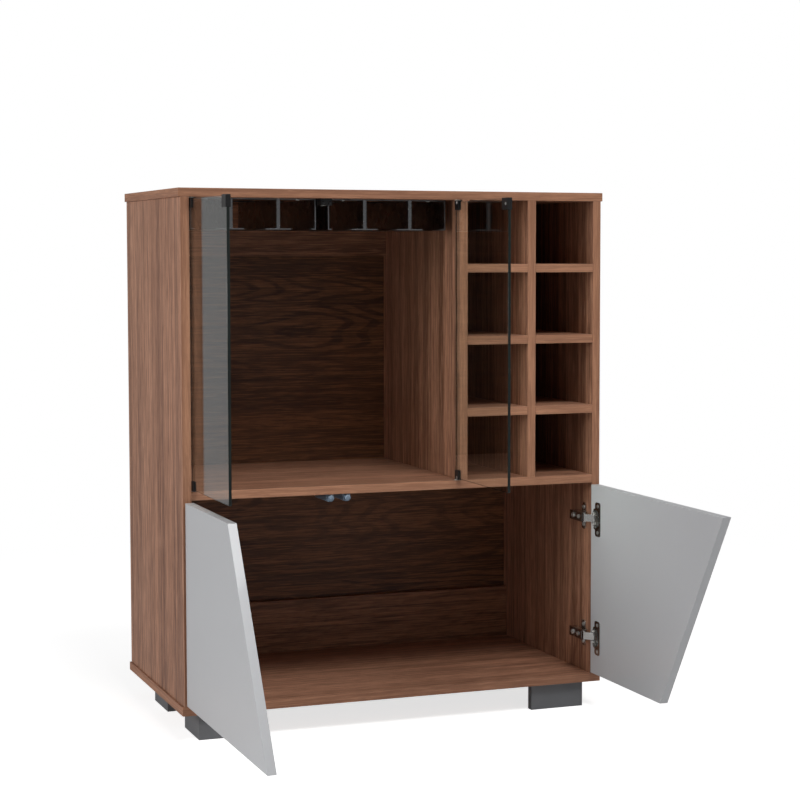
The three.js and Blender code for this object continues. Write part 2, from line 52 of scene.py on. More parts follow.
MM = 0.001
SIDES = {"left": -1, "right": 1}
HEIGHTS = ("top", "bottom")
X_AXIS, Y_AXIS, Z_AXIS = Vector((1, 0, 0)), Vector((0, 1, 0)), Vector((0, 0, 1))
RIGHT_ANGLE = math.radians(90)
FULL_TURN = math.radians(360)


# Places, meshes and objects

def middle(low, high):
    return (low + high) / 2


def carcass_front():
    """The middle of the carcass front, on the floor."""
    low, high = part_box("mid_shelf")
    return Vector((middle(low.x, high.x), low.y, 0))


def turn_towards(direction, axis="Z"):
    """A turn that points one axis of a thing in a direction."""
    return Vector(direction).to_track_quat(axis, "Y").to_matrix().to_4x4()


def new_mesh(name, shape):
    """A shape as a mesh. The shape itself is freed."""
    data = bpy.data.meshes.new(name)
    shape.to_mesh(data)
    shape.free()
    return data


def new_object(name, data):
    thing = bpy.data.objects.new(name, data)
    bpy.context.scene.collection.objects.link(thing)
    return thing


# Camera

# The photograph's camera, seen from the middle of the carcass front at floor level.
CAMERA_FROM_FRONT = Vector((-1.1852, -3.3158, 0.8321))
CAMERA_YAW = math.radians(22.17)
CAMERA_PITCH = math.radians(-4.08)
CAMERA_ROLL = math.radians(0.08)
FOCAL_PIXELS = 2019.3
PHOTO_PIXELS = 800
LENS_AXIS_PIXEL = (487.46, 395.74)
SENSOR_WIDTH = 36
FARTHEST_SEEN = 100


def add_camera():
    data = bpy.data.cameras.new("camera")
    data.sensor_width = SENSOR_WIDTH
    data.lens = FOCAL_PIXELS / PHOTO_PIXELS * SENSOR_WIDTH
    data.shift_x = 0.5 - LENS_AXIS_PIXEL[0] / PHOTO_PIXELS
    data.shift_y = LENS_AXIS_PIXEL[1] / PHOTO_PIXELS - 0.5
    data.clip_end = FARTHEST_SEEN
    look = Vector((
        math.sin(CAMERA_YAW) * math.cos(CAMERA_PITCH),
        math.cos(CAMERA_YAW) * math.cos(CAMERA_PITCH),
        math.sin(CAMERA_PITCH),
    ))
    turn = turn_towards(look, "-Z") @ Matrix.Rotation(CAMERA_ROLL, 4, "Z")
    camera = new_object("camera", data)
    camera.matrix_world = Matrix.Translation(carcass_front() + CAMERA_FROM_FRONT) @ turn
    bpy.context.scene.camera = camera


# Node helpers

# The sockets of a Mix node that is set to colours, which share their names with its other kinds.
MIX_FACTOR, MIX_FIRST, MIX_SECOND, MIX_RESULT = 0, 6, 7, 2
NOISE_MIDDLE = 0.5


class Nodes:
    """Adds and connects nodes in one tree."""

    def __init__(self, tree):
        self.tree = tree

    def add(self, kind, **settings):
        node = self.tree.nodes.new(kind)
        for name, value in settings.items():
            setattr(node, name, value)
        return node

    def connect(self, value, socket):
        """Links another node's output to a socket, or sets a plain value on it."""
        if isinstance(value, bpy.types.NodeSocket):
            self.tree.links.new(value, socket)
        else:
            socket.default_value = value

    def feed(self, node, **inputs):
        for name, value in inputs.items():
            self.connect(value, node.inputs[name.replace("_", " ")])

    def math(self, operation, *values):
        node = self.add("ShaderNodeMath", operation=operation)
        for index, value in enumerate(values):
            self.connect(value, node.inputs[index])
        return node.outputs[0]

    def mix(self, factor, first, second):
        node = self.add("ShaderNodeMix", data_type="RGBA")
        for index, value in ((MIX_FACTOR, factor), (MIX_FIRST, first), (MIX_SECOND, second)):
            self.connect(value, node.inputs[index])
        return node.outputs[MIX_RESULT]

    def mix_shaders(self, factor, first, second):
        node = self.add("ShaderNodeMixShader")
        for index, value in enumerate((factor, first, second)):
            self.connect(value, node.inputs[index])
        return node.outputs["Shader"]

    def spread(self, value, low, high, to_low=0.0, to_high=1.0):
        """A value between low and high, stretched to another range and held inside it."""
        node = self.add("ShaderNodeMapRange", clamp=True)
        self.feed(node, Value=value, From_Min=low, From_Max=high, To_Min=to_low, To_Max=to_high)
        return node.outputs["Result"]

    def noise(self, vector, scale, detail=2.0, roughness=0.5):
        node = self.add("ShaderNodeTexNoise")
        self.feed(node, Vector=vector, Scale=scale, Detail=detail, Roughness=roughness)
        return node.outputs["Fac"]

    def streaks(self, vector, along, across, detail=2.0, roughness=0.5):
        """A noise drawn out along X, with so many waves per metre along and across it."""
        node = self.add("ShaderNodeMapping")
        self.feed(node, Vector=vector, Scale=(along, across, across))
        return self.noise(node.outputs["Vector"], 1.0, detail, roughness)

    def thin_lines(self, value, half_width, strength):
        """A strength where a noise passes through its middle value, and nought a little way off."""
        distance = self.math("ABSOLUTE", self.math("SUBTRACT", value, NOISE_MIDDLE))
        return self.spread(distance, 0.0, half_width, strength, 0.0)


def new_group(name, inputs, outputs):
    """A node group with named sockets, and the nodes at its two ends."""
    tree = bpy.data.node_groups.new(name, "ShaderNodeTree")
    kinds = {"vector": "NodeSocketVector", "value": "NodeSocketFloat", "color": "NodeSocketColor"}
    for direction, sockets in (("INPUT", inputs), ("OUTPUT", outputs)):
        for socket, kind in sockets.items():
            tree.interface.new_socket(socket, in_out=direction, socket_type=kinds[kind])
    nodes = Nodes(tree)
    return nodes, nodes.add("NodeGroupInput").outputs, nodes.add("NodeGroupOutput").inputs


# The noises of the walnut: waves per metre along and across the grain, then detail and roughness.
GRAIN_NOISES = {
    "drift": (1.1, 5.0, 2.0, 0.5),
    "bands": (0.5, 34.0, 2.0, 0.5),
    "ribs": (0.9, 95.0, 3.0, 0.6),
    "strands": (2.0, 230.0, 3.0, 0.65),
    "dashes": (18.0, 460.0, 2.0, 0.6),
    "flecks": (30.0, 150.0, 2.0, 0.6),
    "fibres": (7.0, 700.0, 2.0, 0.6),
    "pores": (55.0, 1500.0, 1.0, 0.5),
    "lines": (0.9, 32.0, 3.0, 0.6),
    "fine lines": (2.2, 90.0, 2.0, 0.6),
    "arch heights": (1.8, 9.0, 2.0, 0.3),
    "arch places": (1.2, 7.0, 2.0, 0.5),
}
# The share of each noise in the soft figure, and the sums between which dark turns to the middle colour.
FIGURE_SHARES = {"bands": 0.32, "ribs": 0.4, "strands": 0.28}
FIGURE_SPAN = (0.43, 0.53)
# Arches are contour lines of a slow noise. Its heights are folded into so many steps, each of which turns
# from clear to dark in a span, and a second noise lets the arches in between two values.
ARCH_STEPS = 44.0
ARCH_LINE_SPAN = (0.5, 0.95)
ARCH_PLACE_SPAN = (0.36, 0.5)
# The reach of a thin line to each side of its noise's middle value, and its strength.
THIN_LINES = {"lines": (0.03, 0.5), "fine lines": (0.035, 0.5)}
# A fade is two values of a noise and the strengths of a colour at them.
DRIFT_FADE = (0.38, 0.68, 0.1, 0.5)
GRAIN_MARKS = (
    ("dashes", "Dark", (0.53, 0.64, 0.0, 0.5)),
    ("flecks", "Dark", (0.52, 0.64, 0.0, 0.28)),
    ("fibres", "Dark", (0.5, 0.66, 0.0, 0.36)),
    ("dashes", "Light", (0.34, 0.46, 0.55, 0.0)),
)
PORE_FADE = (0.62, 0.68, 0.0, 0.45)
FIBRE_ROUGHNESS = (0.3, 0.75, 0.42, 0.58)
FIBRE_HEIGHT = 0.4


def wood_arches(nodes, noises):
    """Fine lines that follow each other round long arches, as in a board cut beside the heart of the tree."""
    steps = nodes.math("PINGPONG", nodes.math("MULTIPLY", noises["arch heights"], ARCH_STEPS), 1.0)
    places = nodes.spread(noises["arch places"], *ARCH_PLACE_SPAN)
    return nodes.math("MULTIPLY", nodes.spread(steps, *ARCH_LINE_SPAN), places)


def wood_figure(nodes, noises, arch_strength):
    """The soft bands and ribs of the walnut with the arches drawn into them, from nought to one."""
    figure = nodes.math("MULTIPLY", wood_arches(nodes, noises), nodes.math("MULTIPLY", arch_strength, -1.0))
    for name, share in FIGURE_SHARES.items():
        figure = nodes.math("ADD", figure, nodes.math("MULTIPLY", noises[name], share))
    return nodes.spread(figure, *FIGURE_SPAN)


def wood_grain_group():
    """Walnut figure that runs along X: soft ribs, arches, thin dark lines, fibres and short open pores."""
    nodes, given, out = new_group(
        "wood grain",
        {"Vector": "vector", "Light": "color", "Middle": "color", "Dark": "color", "Arches": "value"},
        {"Color": "color", "Roughness": "value", "Height": "value"},
    )
    noises = {name: nodes.streaks(given["Vector"], *noise) for name, noise in GRAIN_NOISES.items()}
    color = nodes.mix(wood_figure(nodes, noises, given["Arches"]), given["Dark"], given["Middle"])
    color = nodes.mix(nodes.spread(noises["drift"], *DRIFT_FADE), color, given["Light"])
    for name, line in THIN_LINES.items():
        color = nodes.mix(nodes.thin_lines(noises[name], *line), color, given["Dark"])
    for name, ink, fade in GRAIN_MARKS:
        color = nodes.mix(nodes.spread(noises[name], *fade), color, given[ink])
    pores = nodes.spread(noises["pores"], *PORE_FADE)
    nodes.connect(nodes.mix(pores, color, given["Dark"]), out["Color"])
    nodes.connect(nodes.spread(noises["fibres"], *FIBRE_ROUGHNESS), out["Roughness"])
    fibres = nodes.math("MULTIPLY", noises["fibres"], FIBRE_HEIGHT)
    nodes.connect(nodes.math("SUBTRACT", fibres, pores), out["Height"])
    return nodes.tree


# Values of a noise between which a roughness or a shade changes.
ROUGHNESS_SPAN = (0.35, 0.65)
SHADE_SPAN = (0.35, 0.7)
# Waves per metre, and detail.
CLOUDS = (9.0, 3.0)
METAL_LINE_WAVES = (25.0, 900.0)
METAL_CLOUD_WAVES = 40.0


def varied_roughness(nodes, given, first, second):
    """A roughness between the group's low and high values, from two noises."""
    blend = nodes.math("MULTIPLY", nodes.math("ADD", first, second), 0.5)
    rise = nodes.math("SUBTRACT", given["High"], given["Low"])
    return nodes.math("ADD", given["Low"], nodes.math("MULTIPLY", nodes.spread(blend, *ROUGHNESS_SPAN), rise))


def unevenness_group():
    """Slow and fine unevenness for painted, lacquered and moulded surfaces."""
    nodes, given, out = new_group(
        "surface unevenness",
        {
            "Vector": "vector", "Color": "color", "Shade": "color",
            "Grain": "value", "Low": "value", "High": "value",
        },
        {"Color": "color", "Roughness": "value", "Height": "value"},
    )
    clouds = nodes.noise(given["Vector"], *CLOUDS)
    fine = nodes.noise(given["Vector"], given["Grain"])
    nodes.connect(nodes.mix(nodes.spread(clouds, *SHADE_SPAN), given["Color"], given["Shade"]), out["Color"])
    nodes.connect(varied_roughness(nodes, given, clouds, fine), out["Roughness"])
    nodes.connect(fine, out["Height"])
    return nodes.tree


def metal_lines_group():
    """Fine lines along X for drawn and polished metal."""
    nodes, given, out = new_group(
        "metal lines",
        {"Vector": "vector", "Low": "value", "High": "value"},
        {"Roughness": "value", "Height": "value"},
    )
    lines = nodes.streaks(given["Vector"], *METAL_LINE_WAVES)
    clouds = nodes.noise(given["Vector"], METAL_CLOUD_WAVES)
    nodes.connect(varied_roughness(nodes, given, lines, clouds), out["Roughness"])
    nodes.connect(lines, out["Height"])
    return nodes.tree


# Materials

# The curve of the sRGB standard: a straight start up to a knee, and a power beyond it.
SRGB_FULL = 255
SRGB_KNEE = 0.04045
SRGB_START_SLOPE = 12.92
SRGB_OFFSET = 0.055
SRGB_POWER = 2.4


def linear(value):
    share = value / SRGB_FULL
    if share <= SRGB_KNEE:
        return share / SRGB_START_SLOPE
    return ((share + SRGB_OFFSET) / (1 + SRGB_OFFSET)) ** SRGB_POWER


def srgb(red, green, blue):
    """A colour as it is seen, from 0 to 255, as the linear values that a shader takes."""
    return (linear(red), linear(green), linear(blue), 1.0)


def new_material(name):
    material = bpy.data.materials.new(name)
    material.use_nodes = True
    nodes = Nodes(material.node_tree)
    shader = material.node_tree.nodes["Principled BSDF"]
    coordinates = nodes.add("ShaderNodeTexCoord").outputs["Object"]
    return material, nodes, shader, coordinates


def add_bump(nodes, shader, height, strength, distance):
    node = nodes.add("ShaderNodeBump")
    nodes.feed(node, Height=height, Strength=strength, Distance=distance)
    nodes.feed(shader, Normal=node.outputs["Normal"])


GROUPS = {"grain": wood_grain_group(), "uneven": unevenness_group(), "lines": metal_lines_group()}
WALNUT = {"Light": srgb(209, 158, 130), "Middle": srgb(189, 137, 108), "Dark": srgb(108, 69, 50)}
BAND_WALNUT = {"Light": srgb(191, 139, 109), "Middle": srgb(180, 128, 98), "Dark": srgb(146, 101, 77)}
BACK_WALNUT = {"Light": srgb(154, 104, 68), "Middle": srgb(124, 81, 51), "Dark": srgb(62, 34, 19)}
# The back rails are of the carcass walnut, painted darker as shade for their place at the back of the
# compartments.
SHADED_RAIL_WALNUT = {"Light": srgb(186, 134, 102), "Middle": srgb(158, 110, 80), "Dark": srgb(86, 52, 34)}
# How strongly arches show in the boards, and in the wide sheet behind them.
BOARD_ARCHES = 0.03
SHEET_ARCHES = 0.2
# Turns that lay the figure along each axis of the object.
GRAIN_TURNS = {"x": (0, 0, 0), "y": (0, 0, -RIGHT_ANGLE), "z": (0, RIGHT_ANGLE, 0)}
# The way through the tree from one cut to the next.
CUT_STEP = (1.7, 0.9, 1.0)
WOOD_SPECULAR = 0.35
# The strength of a bump and the height of its relief.
WOOD_BUMP = (0.25, 0.2 * MM)
METAL_BUMP = (0.04, 0.2 * MM)
COATING_RELIEF = 0.5 * MM
GLASS_IOR = 1.5
# Waves per metre, and detail.
SMEARS = (14.0, 3.0)
SMEAR_ROUGHNESS = (0.45, 0.8, 0.0, 0.02)


def wood(name, grain, cut, colors=WALNUT, arches=BOARD_ARCHES):
    """Walnut with its figure along one axis. The cut is a place in the tree, so that no two boards match."""
    material, nodes, shader, coordinates = new_material(name)
    turned = nodes.add("ShaderNodeMapping")
    place = [step * cut for step in CUT_STEP]
    nodes.feed(turned, Vector=coordinates, Rotation=GRAIN_TURNS[grain], Location=place)
    group = nodes.add("ShaderNodeGroup", node_tree=GROUPS["grain"])
    nodes.feed(group, Vector=turned.outputs["Vector"], Arches=arches, **colors)
    nodes.feed(shader, Base_Color=group.outputs["Color"], Roughness=group.outputs["Roughness"])
    nodes.feed(shader, Specular_IOR_Level=WOOD_SPECULAR)
    add_bump(nodes, shader, group.outputs["Height"], *WOOD_BUMP)
    return material


def coated(name, color, shade, grain, roughness, bump, coat=0.0):
    """Paint, lacquer or moulded plastic, of two near colours and with so many grains per metre."""
    material, nodes, shader, coordinates = new_material(name)
    group = nodes.add("ShaderNodeGroup", node_tree=GROUPS["uneven"])
    low, high = roughness
    nodes.feed(group, Vector=coordinates, Color=color, Shade=shade, Grain=grain, Low=low, High=high)
    nodes.feed(shader, Base_Color=group.outputs["Color"], Roughness=group.outputs["Roughness"])
    nodes.feed(shader, Coat_Weight=coat)
    add_bump(nodes, shader, group.outputs["Height"], bump, COATING_RELIEF)
    return material


def metal(name, color, roughness):
    material, nodes, shader, coordinates = new_material(name)
    group = nodes.add("ShaderNodeGroup", node_tree=GROUPS["lines"])
    low, high = roughness
    nodes.feed(group, Vector=coordinates, Low=low, High=high)
    nodes.feed(shader, Base_Color=color, Metallic=1.0, Roughness=group.outputs["Roughness"])
    add_bump(nodes, shader, group.outputs["Height"], *METAL_BUMP)
    return material


def clear_glass(name, color, shadow_color):
    """Glass that lets the lamps through, so that what stands behind it is lit."""
    material, nodes, shader, coordinates = new_material(name)
    smears = nodes.noise(coordinates, *SMEARS)
    nodes.feed(shader, Base_Color=color, Transmission_Weight=1.0, IOR=GLASS_IOR)
    nodes.feed(shader, Roughness=nodes.spread(smears, *SMEAR_ROUGHNESS))
    clear = nodes.add("ShaderNodeBsdfTransparent")
    nodes.feed(clear, Color=shadow_color)
    shadow_ray = nodes.add("ShaderNodeLightPath").outputs["Is Shadow Ray"]
    surface = nodes.mix_shaders(shadow_ray, shader.outputs["BSDF"], clear.outputs["BSDF"])
    nodes.feed(material.node_tree.nodes["Material Output"], Surface=surface)
    return material


MATERIALS = {
    "lacquer": coated(
        "pale lacquer", srgb(205, 206, 209), srgb(204, 205, 208),
        grain=700, roughness=(0.3, 0.34), bump=0.02, coat=0.2,
    ),
    "graphite": coated(
        "graphite paint", srgb(112, 113, 116), srgb(106, 107, 110),
        grain=900, roughness=(0.42, 0.55), bump=0.1,
    ),
    "black": coated(
        "black fitting", srgb(24, 24, 26), srgb(18, 18, 20),
        grain=1500, roughness=(0.3, 0.42), bump=0.06,
    ),
    "plastic": coated(
        "pale plastic", srgb(222, 222, 216), srgb(212, 212, 206),
        grain=1200, roughness=(0.4, 0.5), bump=0.08,
    ),
    "latch": coated(
        "blue-grey plastic", srgb(118, 133, 150), srgb(109, 124, 141),
        grain=1200, roughness=(0.42, 0.55), bump=0.08,
    ),
    "glass edge": coated(
        "dark glass edge", srgb(22, 31, 28), srgb(15, 22, 20),
        grain=300, roughness=(0.12, 0.22), bump=0.02,
    ),
    "nickel": metal("bright nickel", (0.54, 0.535, 0.52, 1.0), roughness=(0.16, 0.3)),
    "steel": metal("screw steel", (0.8, 0.79, 0.77, 1.0), roughness=(0.24, 0.4)),
    "rack metal": metal("bright rack metal", (0.23, 0.235, 0.245, 1.0), roughness=(0.24, 0.34)),
    "glass": clear_glass("clear glass", (0.93, 0.97, 0.95, 1.0), shadow_color=(0.93, 0.95, 0.94, 1.0)),
}


# Pieces

SHARP_ANGLE = math.radians(40)
SMOOTH_FACE_WIDTH = 3 * MM


def finish_piece(name, shape, materials, body, replaced=()):
    """Makes a shape into an object of the armoire, with its materials, body and replaced nodes.

    Narrow faces are shaded as parts of a curve and the broad ones as flat.
    """
    bmesh.ops.recalc_face_normals(shape, faces=shape.faces)
    for edge in shape.edges:
        edge.smooth = edge.calc_face_angle(0) < SHARP_ANGLE
    for face in shape.faces:
        face.smooth = 2 * face.calc_area() < SMOOTH_FACE_WIDTH * face.calc_perimeter()
    piece = new_object(name, new_mesh(name, shape))
    for material in materials:
        piece.data.materials.append(material)
    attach(piece, body)
    if replaced:
        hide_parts(*replaced)


BODY_OF = {
    node: body for body, nodes in frame["record"]["behaviour"]["bodies"].items() for node in nodes
}
MERGE_REACH = 0.002 * MM
FLAT_ANGLE = math.radians(0.5)


def merged_copy(node):
    """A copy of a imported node's mesh with its loose triangles joined and its flat faces made whole."""
    copy = bmesh.new()
    copy.from_mesh(frame["nodes"][node].data)
    bmesh.ops.remove_doubles(copy, verts=copy.verts, dist=MERGE_REACH)
    bmesh.ops.dissolve_limit(copy, angle_limit=FLAT_ANGLE, verts=copy.verts, edges=copy.edges)
    return copy


def ease_edges(copy, width, segments=2, shortest=0.0):
    """Rounds the sharp edges, apart from those too short for it."""
    edges = [
        edge for edge in copy.edges
        if edge.calc_face_angle(0) > SHARP_ANGLE and edge.calc_length() > shortest
    ]
    bmesh.ops.bevel(
        copy, geom=edges, offset=width, offset_type="OFFSET", segments=segments, profile=0.5,
        affect="EDGES", clamp_overlap=True, material=-1,
    )
    bmesh.ops.dissolve_degenerate(copy, dist=MERGE_REACH, edges=copy.edges)


def looks_along(face, axis):
    return abs(face.normal.dot(axis)) > math.cos(SHARP_ANGLE / 2)


def dress(node, material, width, segments=2, shortest=0.0, bands=()):
    """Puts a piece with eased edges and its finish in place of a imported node.

    Each band is an axis and the material of the faces that look along it.
    """
    copy = merged_copy(node)
    for index, (axis, _) in enumerate(bands, 1):
        for face in copy.faces:
            if looks_along(face, axis):
                face.material_index = index
    ease_edges(copy, width, segments, shortest)
    materials = [material] + [band for _, band in bands]
    finish_piece(f"{node}_finished", copy, materials, BODY_OF[node], (node,))


BOARD_EDGE = 0.6 * MM
SHEET_EDGE = 0.3 * MM
GLASS_EDGE = 0.4 * MM
CLAMP_EDGE = 0.35 * MM
CASE_EDGE = 0.5 * MM
SMALL_EDGE = 0.2 * MM
# The facets of round pockets are shorter than this, and stay sharp.
POCKET_FACET = 5 * MM
# Where in the tree the bands and each board are cut.
BAND_CUT = 3.1
BOARD_CUTS = {
    "top_panel": 0.4, "bottom_panel": 7.3, "mid_shelf": 1.9,
    "rack_shelf_1": 4.2, "rack_shelf_2": 6.5, "rack_shelf_3": 8.8,
    "side_left": 2.7, "side_right": 5.8, "divider": 8.9, "rack_post_1": 12.0,
    "back_rail_top": 9.9, "back_rail_bottom": 14.6, "back_sheet": 5.2,
}


def dress_board(name, grain, width=BOARD_EDGE, colors=WALNUT, arches=BOARD_ARCHES, **edges):
    """A board or sheet with its figure along one axis, at its own cut."""
    dress(name, wood(f"walnut {name}", grain, BOARD_CUTS[name], colors, arches), width, **edges)


def dress_boards():
    """Boards with plainer bands on their front edges, and on the ends of the top and bottom panels."""
    along_x, along_y, along_z = (wood(f"walnut band {axis}", axis, BAND_CUT, BAND_WALNUT) for axis in "xyz")
    level_front, upright_front, ends = (Y_AXIS, along_x), (Y_AXIS, along_z), (X_AXIS, along_y)
    for name in ("top_panel", "bottom_panel"):
        dress_board(name, "x", shortest=POCKET_FACET, bands=(level_front, ends))
    for name in ("mid_shelf", "rack_shelf_1", "rack_shelf_2", "rack_shelf_3"):
        dress_board(name, "x", shortest=POCKET_FACET, bands=(level_front,))
    for name in ("side_left", "side_right", "divider", "rack_post_1"):
        dress_board(name, "z", bands=(upright_front,))
    # The back rails get the walnut with painted shade.
    for name in ("back_rail_top", "back_rail_bottom"):
        dress_board(name, "x", SHEET_EDGE, SHADED_RAIL_WALNUT)
    dress_board("back_sheet", "x", SHEET_EDGE, BACK_WALNUT, SHEET_ARCHES)


def dress_feet():
    for row in ("front", "rear"):
        for side in SIDES:
            dress(f"foot_{row}_{side}", MATERIALS["graphite"], BOARD_EDGE)


def dress_lower_doors():
    for side in SIDES:
        dress(f"door_{side}", MATERIALS["lacquer"], BOARD_EDGE, segments=3, shortest=POCKET_FACET)


def dress_pane(side):
    """A pane of clear glass with dark edges. It stands open, so that its broad faces look along X."""
    node = f"glass_pane_{side}"
    copy = merged_copy(node)
    ease_edges(copy, GLASS_EDGE, segments=1)
    for face in copy.faces:
        face.material_index = int(not looks_along(face, X_AXIS))
    materials = [MATERIALS["glass"], MATERIALS["glass edge"]]
    finish_piece(f"{node}_polished", copy, materials, BODY_OF[node], (node,))


def dress_glass_doors():
    for side in SIDES:
        dress_pane(side)
        dress(f"glass_strike_{side}", MATERIALS["black"], CLAMP_EDGE)
        for height in HEIGHTS:
            dress(f"glass_clamp_{side}_{height}", MATERIALS["black"], CLAMP_EDGE)
            dress(f"pivot_bush_{side}_{height}", MATERIALS["plastic"], SMALL_EDGE)


def dress_latches():
    dress("touch_latch_body", MATERIALS["black"], CASE_EDGE)
    for side in SIDES:
        dress(f"touch_latch_plunger_{side}", MATERIALS["black"], SMALL_EDGE)
        dress(f"push_latch_body_{side}", MATERIALS["latch"], CASE_EDGE)
        dress(f"push_latch_plunger_{side}", MATERIALS["latch"], SMALL_EDGE)


def dress_hinges():
    for side in SIDES:
        for height in HEIGHTS:
            dress(f"hinge_plate_{side}_{height}", MATERIALS["nickel"], SHEET_EDGE)
            for part in ("arm", "link", "cup"):
                dress(f"hinge_{part}_{side}_{height}", MATERIALS["nickel"], SMALL_EDGE)


def dress_racks():
    for side in SIDES:
        dress(f"stemware_rack_{side}", MATERIALS["rack metal"], SHEET_EDGE)


# Fastenings

ROUND_STEPS = 24
# Shares of a head's radius.
CROSS_ARM_SHARE = 0.52
CROSS_SLOT_SHARE = 0.15
HEX_FLAT_SHARE = 0.55
HEX_SIDE_TURN = FULL_TURN / 6
DOMED_HEAD_SHARE = 0.42
LOW_HEAD_SHARE = 0.25
CROWN_RING_SHARE = 0.2
SOCKET_RIM_SHARE = 0.05
# Shares of a head's height, and of its socket's width.
WALL_SHARE = 0.62
STEEP_RING_SHARE = 0.75
SOCKET_DEPTH_SHARE = 0.5
SOCKET_FLOOR_SHARE = 0.8


def off_nearest(angle, step):
    """How far an angle lies from the nearest multiple of a step."""
    return (angle + step / 2) % step - step / 2


def cross_socket(angle):
    """The reach of a cross-shaped socket in a direction, as a share of the head's radius."""
    turn = off_nearest(angle, RIGHT_ANGLE)
    slot_reach = CROSS_SLOT_SHARE / max(abs(math.sin(turn)), CROSS_SLOT_SHARE)
    return min(CROSS_ARM_SHARE / math.cos(turn), slot_reach)


def hex_socket(angle):
    """The reach of a six-sided socket in a direction, as a share of the head's radius."""
    return HEX_FLAT_SHARE / math.cos(off_nearest(angle, HEX_SIDE_TURN))


def screw_head(radius, socket=cross_socket, height_share=DOMED_HEAD_SHARE):
    """A low domed head about Z, whose seat lies at height nought, with a socket in its crown."""
    height = radius * height_share
    wall = height * WALL_SHARE
    rise = height - wall
    head = bmesh.new()
    bmesh.ops.create_cone(
        head, cap_ends=True, segments=ROUND_STEPS, radius1=radius, radius2=radius, depth=wall,
        matrix=Matrix.Translation((0, 0, wall / 2)),
    )
    crown = max(head.faces, key=lambda face: face.calc_center_median().z)
    ring = radius * CROWN_RING_SHARE
    bmesh.ops.inset_region(head, faces=[crown], thickness=ring, depth=rise * STEEP_RING_SHARE)
    bmesh.ops.inset_region(head, faces=[crown], thickness=ring, depth=rise * (1 - STEEP_RING_SHARE))
    bmesh.ops.inset_region(head, faces=[crown], thickness=radius * SOCKET_RIM_SHARE)
    for vert in crown.verts:
        angle = math.atan2(vert.co.y, vert.co.x)
        reach = radius * socket(angle)
        vert.co.x = reach * math.cos(angle)
        vert.co.y = reach * math.sin(angle)
    floor = bmesh.ops.extrude_discrete_faces(head, faces=[crown])["faces"][0]
    bmesh.ops.scale(head, vec=(SOCKET_FLOOR_SHARE, SOCKET_FLOOR_SHARE, 1), verts=floor.verts)
    bmesh.ops.translate(head, vec=(0, 0, -height * SOCKET_DEPTH_SHARE), verts=floor.verts)
    return head


def turned_to(solid, place, axis):
    """Stands a piece drawn about Z at a place, with Z along the axis."""
    bmesh.ops.transform(solid, matrix=Matrix.Translation(place) @ turn_towards(axis), verts=solid.verts)
    return solid


def joined(solids):
    """Several pieces as one mesh."""
    whole = bmesh.new()
    for solid in solids:
        data = new_mesh("part of a whole", solid)
        whole.from_mesh(data)
        bpy.data.meshes.remove(data)
    return whole


def add_fastenings(node, kind, solids):
    """Adds screws or springs of steel to the body of the node that they belong to."""
    finish_piece(f"{node}_{kind}", joined(solids), [MATERIALS["steel"]], BODY_OF[node])


def inboard_side(node, sign):
    """Where the side of a node that looks to the middle of the armoire lies along X."""
    low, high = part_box(node)
    return low.x if sign > 0 else high.x


def spaced_pair(centre, spacing):
    return (centre - spacing / 2, centre + spacing / 2)


# Depths are measured back from the carcass front, as the hinges are drawn.
PLATE_WING_DEPTH = 30 * MM
PLATE_WING_THICKNESS = 2 * MM
PLATE_SCREW_SPACING = 32 * MM
PLATE_SCREW_RADIUS = 3.6 * MM
ARM_SCREW_DEPTHS = (24 * MM, 47 * MM)
ARM_SCREW_RADII = (3.8 * MM, 4.6 * MM)
CUP_FLANGE_WIDTH = 22 * MM
CUP_SCREW_SPACING = 48 * MM
CUP_SCREW_RADIUS = 3.4 * MM


def add_hinge_screws(side, sign, height):
    """Screws in the mounting plate, the arm and the flange of the cup."""
    plate, arm, cup = (f"hinge_{part}_{side}_{height}" for part in ("plate", "arm", "cup"))
    inboard = -sign * X_AXIS
    front = carcass_front().y
    low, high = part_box(plate)
    level = middle(low.z, high.z)
    board_side = high.x if sign > 0 else low.x
    wing_side = board_side - sign * PLATE_WING_THICKNESS
    add_fastenings(plate, "screws", [
        turned_to(screw_head(PLATE_SCREW_RADIUS), (wing_side, front + PLATE_WING_DEPTH, z), inboard)
        for z in spaced_pair(level, PLATE_SCREW_SPACING)
    ])
    add_fastenings(arm, "screws", [
        turned_to(screw_head(radius), (inboard_side(arm, sign), front + depth, level), inboard)
        for radius, depth in zip(ARM_SCREW_RADII, ARM_SCREW_DEPTHS)
    ])
    flange_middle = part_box(cup)[0].y + CUP_FLANGE_WIDTH / 2
    add_fastenings(cup, "screws", [
        turned_to(
            screw_head(CUP_SCREW_RADIUS, height_share=LOW_HEAD_SHARE),
            (inboard_side(cup, sign), flange_middle, z), inboard,
        )
        for z in spaced_pair(level, CUP_SCREW_SPACING)
    ])


SPRING_RADIUS = 2.3 * MM
SPRING_WIRE = 0.45 * MM
SPRING_TURNS = 4
SPRING_PITCH = 2.1 * SPRING_WIRE
SPRING_GAP = 1.2 * MM
WIRE_SIDES = 8


def spring():
    """A closed coil about Z, from height nought up."""
    coil = bmesh.new()
    bmesh.ops.create_circle(
        coil, cap_ends=True, segments=WIRE_SIDES, radius=SPRING_WIRE,
        matrix=Matrix.Translation((SPRING_RADIUS, 0, 0)) @ Matrix.Rotation(RIGHT_ANGLE, 4, "X"),
    )
    bmesh.ops.spin(
        coil, geom=coil.faces[:], cent=(0, 0, 0), axis=Z_AXIS, angle=FULL_TURN * SPRING_TURNS,
        steps=ROUND_STEPS * SPRING_TURNS, dvec=(0, 0, SPRING_PITCH / ROUND_STEPS),
    )
    return coil


